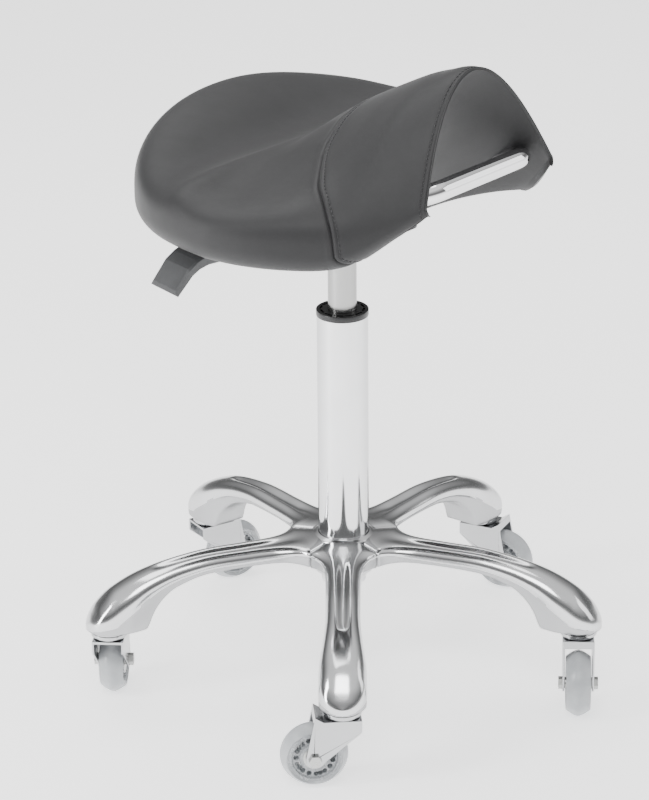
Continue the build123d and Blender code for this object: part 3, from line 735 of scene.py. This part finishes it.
# ------------------------------------------------------------------ underside cloth
CLOTH_HOLE_R = 44.0
CLOTH_FRONT = 58.0
CLOTH_MARGIN = 34.0
CLOTH_CORNER_POWER = 8
CLOTH_AROUND = 120
CLOTH_RINGS = 12
CLOTH_GAP = 0.2
CLOTH_THICKNESS = 0.4
CLOTH_SAG = 0.5
SAG_WAVES = 24
SAG_WAVE_SHARE = 0.4
SAG_FROM_R = 90
HEM_STEP_START = 0.8
HEM_STEP_RUN = 0.12
HEM_STEP = 1.5


def cloth_reach(angle):
    """Distance from the column to the cloth's hem."""
    c, sn = math.cos(angle), math.sin(angle)
    if c > 0:
        side = (SEAT_HALF_WIDTH - CLOTH_MARGIN) / max(abs(sn), 1e-6)
        front = CLOTH_FRONT / max(c, 1e-6)
        return (side ** -CLOTH_CORNER_POWER + front ** -CLOTH_CORNER_POWER) ** (-1 / CLOTH_CORNER_POWER)
    return rear_outline(c, sn) - CLOTH_MARGIN


def dust_cloth():
    """Black cloth stapled flat over the open back of the shell, slack between its staples."""
    vertices = []
    for j in range(CLOTH_RINGS + 1):
        share = j / CLOTH_RINGS
        over_hem = max(0.0, min(1.0, (share - HEM_STEP_START) / HEM_STEP_RUN)) * HEM_STEP
        for i in range(CLOTH_AROUND):
            angle = 2 * math.pi * i / CLOTH_AROUND
            radius = CLOTH_HOLE_R + (cloth_reach(angle) - CLOTH_HOLE_R) * share
            waves = 1 - SAG_WAVE_SHARE + SAG_WAVE_SHARE * math.sin(angle * SAG_WAVES)
            sag = CLOTH_SAG * math.sin(math.pi * share) * waves
            z = UNDERSIDE_Z - CLOTH_GAP - over_hem - (sag if radius > SAG_FROM_R else 0.0)
            vertices.append((radius * math.sin(angle) * MM, -radius * math.cos(angle) * MM, z * MM))
    piece = add_mesh("underside_dust_cloth", vertices, ring_faces(CLOTH_RINGS + 1, CLOTH_AROUND))
    solid = piece.modifiers.new("thickness", "SOLIDIFY")
    solid.thickness = CLOTH_THICKNESS * MM
    dress(piece, DUST_CLOTH, "seat")
    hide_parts("dust_cover")
    points = get_points(piece)


STAPLES = 46
STAPLE_HALF = 5.0
STAPLE_WIRE = 0.35
STAPLE_CROWN = 0.6
STAPLE_INSET = 5.0
STAPLE_DROP = 2.4
STAPLE_STRAY = 0.012
STAPLE_TWIST = 0.3


def staples():
    """Wire staples through the cloth's hem."""
    vertices, faces = [], []
    for i in range(STAPLES):
        angle = 2 * math.pi * (i + 0.5) / STAPLES + random.uniform(-STAPLE_STRAY, STAPLE_STRAY)
        radius = cloth_reach(angle) - STAPLE_INSET
        middle = Vector((radius * math.sin(angle), -radius * math.cos(angle), UNDERSIDE_Z - STAPLE_DROP))
        tangent = Vector((math.cos(angle), math.sin(angle), 0))
        tangent.rotate(Matrix.Rotation(random.uniform(-STAPLE_TWIST, STAPLE_TWIST), 3, "Z"))
        across = Vector((tangent.y, -tangent.x, 0))
        start = len(vertices)
        for end in (-1, 1):
            for side, lift in ((-1, 0), (1, 0), (1, 1), (-1, 1)):
                corner = middle + tangent * STAPLE_HALF * end + across * STAPLE_WIRE * side
                vertices.append((corner + Vector((0, 0, STAPLE_CROWN * lift))) * MM)
        faces += ring_faces(2, 4, start)
        faces += [(start, start + 3, start + 2, start + 1), (start + 4, start + 5, start + 6, start + 7)]
    dress(add_mesh("cloth_staples", vertices, faces), ZINC, "seat")


# ------------------------------------------------------------------ cast base
ARMS = 5
BASE_HEADING = -140.5
FOOT_R = 23.0
STEM_CIRCLE_R = 241.7
HUB_START_X = 20
CROTCH_X = 46.0
NECK_END_X = 90
ARM_NECK_HALF = 17.6
# Stations along an arm, from the column outwards.
ARM_TOP = [(20, 150), (60, 149.5), (100, 149), (150, 147), (200, 137), (236, 121), (252, 107),
           (260, 96), (264.7, 87.6)]
ARM_UNDER = [(20, 131), (140, 128), (174, 119), (190, 109), (200, 97), (206, 84), (209, 81.6), (265, 81.6)]
ARM_HALF = [(60, 17.6), (120, 17.0), (170, 17.0), (200, 19.5), (222, 22.6), (236, 23.0)]
ARM_CAP = [(20, 3), (46, 7), (80, 12), (150, 13), (200, 18), (225, 25), (265, 34)]
GROOVE = [(36, 0.0), (58, 2.2), (80, 4.2), (160, 4.2), (184, 3.4), (198, 0.0)]
GROOVE_HALF = [(36, 15.0), (70, 7.5), (110, 5.6), (180, 4.6), (198, 4.0)]
CHEEK_INSET = [(20, 0.2), (46, 0.6), (70, 3.2), (175, 3.2), (205, 1.2), (225, 0.3)]
# Below the crease: shares of the cheek's inset and of its height.
CHEEK_SHAPE = [(0.35, 0.07), (1.0, 0.13), (1.12, 0.2), (1.15, 0.4), (1.2, 0.65), (1.35, 0.85),
               (1.8, 0.96), (2.6, 1.0)]
UNDERSIDE_SHARES = (0.6, 0.3)
CAP_STEPS = 18
CAP_WIDTH_POWER = 0.85
CAP_HEIGHT_POWER = 0.75
CREASE_LOWEST_SHARE = 0.25
CHEEK_INSET_LIMIT = 0.3
FOOT_TIP_HALF = 0.2
FOOT_STEPS = 26
FOOT_TIP_SHARE = 0.9995
CAST_MERGE = 1e-5
CHEEK_BELOW_CREASE = 1.0
TURNED_STEPS = 72
SLEEVE_PROFILE = [(24.5, 111), (27.5, 110.2), (29.2, 111.5), (29.6, 114), (29.8, 122), (30.6, 127),
                  (33.5, 130.2), (38, 131.5), (24.5, 133)]
COLLAR_PROFILE = [(25.05, 148), (25.05, 151.2), (25.8, 151.6), (27.2, 151.1), (30, 149.6), (33, 148)]


def arm_half(x):
    """Half width of an arm, spreading to meet its neighbours at the hub and closing round the foot."""
    if x <= CROTCH_X:
        return x * math.tan(math.pi / ARMS)
    if x > STEM_CIRCLE_R:
        return math.sqrt(max(FOOT_R ** 2 - (x - STEM_CIRCLE_R) ** 2, FOOT_TIP_HALF ** 2))
    at_crotch = CROTCH_X * math.tan(math.pi / ARMS)
    base = float(along(ARM_HALF, x))
    slope = 1 / math.tan(math.pi / ARMS)
    return base + (at_crotch - base) * math.exp(-(x - CROTCH_X) * slope / (at_crotch - ARM_NECK_HALF))


def arm_heights(x):
    """Heights of an arm's top, of the crease between its cap and its cheeks, and of its underside."""
    top, under = float(along(ARM_TOP, x)), float(along(ARM_UNDER, x))
    crease = max(top - float(along(ARM_CAP, x)), under + CREASE_LOWEST_SHARE * (top - under))
    return top, crease, under


def arm_section(x):
    """Closed section across an arm: crowned and grooved cap, crease, cheeks, flat underside."""
    half = arm_half(x)
    top, crease, under = arm_heights(x)
    depth, reach = float(along(GROOVE, x)), float(along(GROOVE_HALF, x))
    inset = min(float(along(CHEEK_INSET, x)), half * CHEEK_INSET_LIMIT)
    side = []
    for k in range(CAP_STEPS + 1):
        angle = math.pi / 2 * k / CAP_STEPS
        y = half * math.sin(angle) ** CAP_WIDTH_POWER
        z = crease + (top - crease) * math.cos(angle) ** CAP_HEIGHT_POWER
        side.append((y, z - depth * math.exp(-(y / reach) ** 2)))
    for inward, drop in CHEEK_SHAPE:
        side.append((half - inset * inward, crease - (crease - under) * drop))
    bottom_half = half - inset * CHEEK_SHAPE[-1][0]
    side += [(bottom_half * share, under) for share in UNDERSIDE_SHARES]
    left = [(-y, z) for y, z in reversed(side[1:])]
    return left + side + [(0.0, under)]


def arm_places():
    """Where an arm's sections stand: across the hub, along the arm and round the foot."""
    places = list(np.linspace(HUB_START_X, CROTCH_X, 9))
    places += list(np.linspace(CROTCH_X, NECK_END_X, 24)[1:])
    places += list(np.linspace(NECK_END_X, STEM_CIRCLE_R, 62)[1:])
    for k in range(1, FOOT_STEPS + 1):
        places.append(STEM_CIRCLE_R + FOOT_R * math.sin(math.pi / 2 * k / FOOT_STEPS) * FOOT_TIP_SHARE)
    return places


def arm_angle(arm):
    return math.radians(BASE_HEADING + 360 / ARMS * arm)


def in_cheek(centre):
    """Whether a point of the casting lies below the crease of its arm."""
    x, y, z = centre
    share = max(math.cos(math.atan2(y, x) - arm_angle(arm)) for arm in range(ARMS))
    _, crease, _ = arm_heights(math.hypot(x, y) * share / MM)
    return z / MM < crease - CHEEK_BELOW_CREASE


def turned_piece(name, profile):
    """A closed (radius, height) profile turned about the column."""
    vertices = []
    for i in range(TURNED_STEPS):
        angle = 2 * math.pi * i / TURNED_STEPS
        vertices += [(r * math.cos(angle) * MM, r * math.sin(angle) * MM, z * MM) for r, z in profile]
    piece = add_mesh(name, vertices, ring_faces(TURNED_STEPS, len(profile), closed=True))
    agree_normals(piece)
    return piece


def cast_base():
    """Five crowned arms flowing into one hub, each with a rounded foot, and the sleeve and collar."""
    places = arm_places()
    sections = [arm_section(x) for x in places]
    count = len(sections[0])
    vertices, faces = [], []
    for arm in range(ARMS):
        c, sn = math.cos(arm_angle(arm)), math.sin(arm_angle(arm))
        start = len(vertices)
        for x, section in zip(places, sections):
            vertices += [((x * c - y * sn) * MM, (x * sn + y * c) * MM, z * MM) for y, z in section]
        faces += ring_faces(len(places), count, start)
        faces.append(tuple(len(vertices) - count + j for j in range(count)))
    piece = add_mesh("cast_star_base", vertices, faces, CAST_MERGE)
    agree_normals(piece)
    dress(piece, ALUMINIUM, "base")
    piece.data.materials.append(PAINTED_SHADE_CHEEK)
    # Faces below the crease take the darker cheek material, painted shade on the lower sides of the arms.
    for polygon in piece.data.polygons:
        polygon.material_index = 1 if in_cheek(polygon.center) else 0
    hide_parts("star_base")
    dress(turned_piece("hub_sleeve", SLEEVE_PROFILE), ALUMINIUM, "base")
    dress(turned_piece("hub_collar", COLLAR_PROFILE), ALUMINIUM, "base")


# ------------------------------------------------------------------ stage, lights and camera
FLOOR_SIZE = 30
LIGHT_TARGET = Vector((0, 0, 0.35))
# Name, place, size and power of each lamp.
LAMPS = [("key", (-1.6, -1.2, 2.6), (1.4, 1.4), 44),
         ("left_strip", (-2.2, 1.0, 1.1), (0.5, 2.0), 48),
         ("right_fill", (1.9, -1.9, 1.3), (1.2, 1.6), 14),
         ("top", (0.3, 0.6, 2.6), (1.8, 1.8), 34)]
WORLD_STRENGTH = 1.05
WORLD_LOW = 0.85
WORLD_HIGH = 1.0
WORLD_BANDS = [(0.08, 0.30), (0.28, 0.16), (0.5, 0.45), (0.75, 1.0)]
VIEW_AZIMUTH = -49.7
VIEW_ELEVATION = 22.61
CAMERA_PLACE = Vector((-2.392, -2.005, 1.590))
CAMERA_ROLL = -0.48
LENS = 155.8
SENSOR_WIDTH = 36.0
FARTHEST = 60


def floor_material():
    s = Shader("pale_floor", Emission_Strength=1.3)
    s.to("Base Color", s.ramp(s.noise(2.0, 3.0), [(0.3, 0.93), (0.7, 0.95)]))
    s.to("Emission Color", s.ramp(s.noise(2.0, 3.0), [(0.3, 0.97), (0.7, 1.0)]))
    s.to("Roughness", s.spread(s.noise(6.0), 0.6, 0.7))
    return s.material


def stage():
    bpy.ops.mesh.primitive_plane_add(size=FLOOR_SIZE, location=(0, 0, 0))
    floor = bpy.context.object
    floor.name = "floor"
    floor.data.materials.append(floor_material())


def world_light():
    """Soft light from all round, with darker bands low down for the metal to mirror."""
    world = bpy.data.worlds.new("studio")
    bpy.context.scene.world = world
    world.use_nodes = True
    tree = world.node_tree
    background = tree.nodes["Background"]
    place = tree.nodes.new("ShaderNodeTexCoord")
    split = tree.nodes.new("ShaderNodeSeparateXYZ")
    ramp = tree.nodes.new("ShaderNodeValToRGB")
    tree.links.new(place.outputs["Generated"], split.inputs[0])
    tree.links.new(split.outputs["Z"], ramp.inputs["Fac"])
    tree.links.new(ramp.outputs["Color"], background.inputs["Color"])
    elements = ramp.color_ramp.elements
    elements[0].color = (WORLD_LOW, WORLD_LOW, WORLD_LOW, 1)
    elements[1].color = (WORLD_HIGH, WORLD_HIGH, WORLD_HIGH, 1)
    for position, shade in WORLD_BANDS:
        elements.new(position).color = (shade, shade, shade, 1)
    background.inputs["Strength"].default_value = WORLD_STRENGTH


def lights():
    world_light()
    for name, place, size, power in LAMPS:
        data = bpy.data.lights.new(name, "AREA")
        data.shape = "RECTANGLE"
        data.size, data.size_y = size
        data.energy = power
        lamp = bpy.data.objects.new(name, data)
        bpy.context.scene.collection.objects.link(lamp)
        lamp.location = place
        lamp.rotation_euler = (LIGHT_TARGET - Vector(place)).to_track_quat("-Z", "Y").to_euler()


def camera():
    data = bpy.data.cameras.new("camera")
    data.lens = LENS
    data.sensor_width = SENSOR_WIDTH
    data.sensor_fit = "AUTO"
    data.clip_end = FARTHEST
    holder = bpy.data.objects.new("camera", data)
    bpy.context.scene.collection.objects.link(holder)
    a, e = math.radians(VIEW_AZIMUTH), math.radians(VIEW_ELEVATION)
    back = Vector((math.sin(a) * math.cos(e), -math.cos(a) * math.cos(e), math.sin(e)))
    turn = (-back).to_track_quat("-Z", "Y").to_matrix()
    roll = Matrix.Rotation(math.radians(CAMERA_ROLL), 3, "Z")
    holder.matrix_world = Matrix.Translation(CAMERA_PLACE) @ (turn @ roll).to_4x4()
    bpy.context.scene.camera = holder


camera()
dress_cad_nodes()
seat_covers()
dust_cloth()
staples()
cast_base()
stage()
lights()
